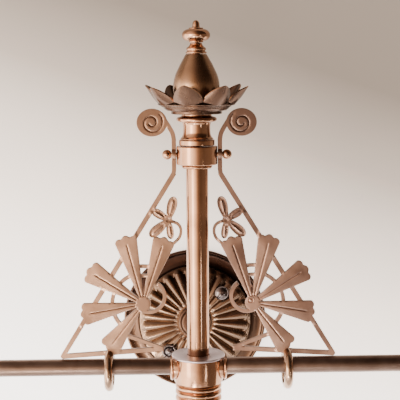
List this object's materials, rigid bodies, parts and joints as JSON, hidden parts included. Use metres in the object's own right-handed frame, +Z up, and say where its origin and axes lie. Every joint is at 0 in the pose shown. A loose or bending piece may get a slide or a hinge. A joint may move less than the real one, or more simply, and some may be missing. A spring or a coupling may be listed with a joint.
{
  "type": "two-arm wall light bracket",
  "caption": "Wall light bracket with a fluted wall plate, an upright column with petal-cup finial, level arms, pierced side panels, taps and shade galleries.",
  "frame": {"origin": "centre of the wall plate's back face, on the wall", "axes": "+Y into the wall, +Z up, +X along the arms to the right as seen from the room"},
  "size_m": [0.4732, 0.1829, 0.3258],
  "materials": {
    "polished_brass": "polished, copper-toned, lightly worn lacquer",
    "satin_brass": "satin, copper-toned, brushed",
    "dark_brass": "darkened, semi-polished with bright high spots",
    "dark_iron": "blackened, satin"
  },
  "bodies": {
    "bracket": {"back_disc": "dark_brass", "wall_rosette": "dark_brass", "rosette_hub": "polished_brass", "stub_tube": "polished_brass", "tee_body": "polished_brass", "top_flange": "polished_brass", "pendant_collar": "polished_brass", "column_tube": "polished_brass", "tie_rod": "dark_iron", "lower_lip": "polished_brass", "collar_band": "polished_brass", "neck_base": "polished_brass", "neck": "polished_brass", "neck_ring": "polished_brass", "petal_cup": "satin_brass", "egg_body": "satin_brass", "finial_collar": "polished_brass", "panel_right": "satin_brass", "panel_left": "satin_brass", "panel_ring_right": "polished_brass", "panel_ring_left": "polished_brass", "side_collar_right": "polished_brass", "side_collar_left": "polished_brass", "arm_right": "dark_brass", "arm_left": "dark_brass", "tap_body_right": "polished_brass", "tap_body_left": "polished_brass", "elbow_right": "satin_brass", "elbow_left": "satin_brass", "gallery_right": "polished_brass", "gallery_left": "polished_brass", "burner_right": "dark_iron", "burner_left": "dark_iron"},
    "finial_knob": {"finial_knob": "polished_brass"},
    "ball_screw_right": {"ball_screw_right": "polished_brass"},
    "ball_screw_left": {"ball_screw_left": "polished_brass"},
    "wall_screw_right": {"wall_screw_right": "dark_iron"},
    "wall_screw_left": {"wall_screw_left": "dark_iron"},
    "pendant_drop": {"pendant_drop": "polished_brass"},
    "tap_key_right": {"tap_key_right": "polished_brass"},
    "tap_key_left": {"tap_key_left": "polished_brass"}
  },
  "joints": [
    {"name": "finial_knob_turn", "type": "hinge", "parent": "bracket", "child": "finial_knob", "pos_m": [0, -0.145, 0.2465], "axis": [0, 0, 1], "continuous": true},
    {"name": "ball_screw_right_turn", "type": "hinge", "parent": "bracket", "child": "ball_screw_right", "pos_m": [0.0219, -0.145, 0.16], "axis": [1, 0, 0], "continuous": true},
    {"name": "ball_screw_left_turn", "type": "hinge", "parent": "bracket", "child": "ball_screw_left", "pos_m": [-0.0219, -0.145, 0.16], "axis": [-1, 0, 0], "continuous": true},
    {"name": "wall_screw_right_turn", "type": "hinge", "parent": "bracket", "child": "wall_screw_right", "pos_m": [0.02342, -0.016, 0.02601], "axis": [0, -1, 0], "continuous": true},
    {"name": "wall_screw_left_turn", "type": "hinge", "parent": "bracket", "child": "wall_screw_left", "pos_m": [-0.02342, -0.016, -0.02601], "axis": [0, -1, 0], "continuous": true},
    {"name": "pendant_drop_turn", "type": "hinge", "parent": "bracket", "child": "pendant_drop", "pos_m": [0, -0.145, -0.045], "axis": [0, 0, -1], "continuous": true},
    {"name": "tap_key_right_turn", "type": "hinge", "parent": "bracket", "child": "tap_key_right", "pos_m": [0.1793, -0.145, 0], "axis": [0, -1, 0], "range_deg": [0, 90]},
    {"name": "tap_key_left_turn", "type": "hinge", "parent": "bracket", "child": "tap_key_left", "pos_m": [-0.1793, -0.145, 0], "axis": [0, -1, 0], "range_deg": [0, 90]}
  ]
}
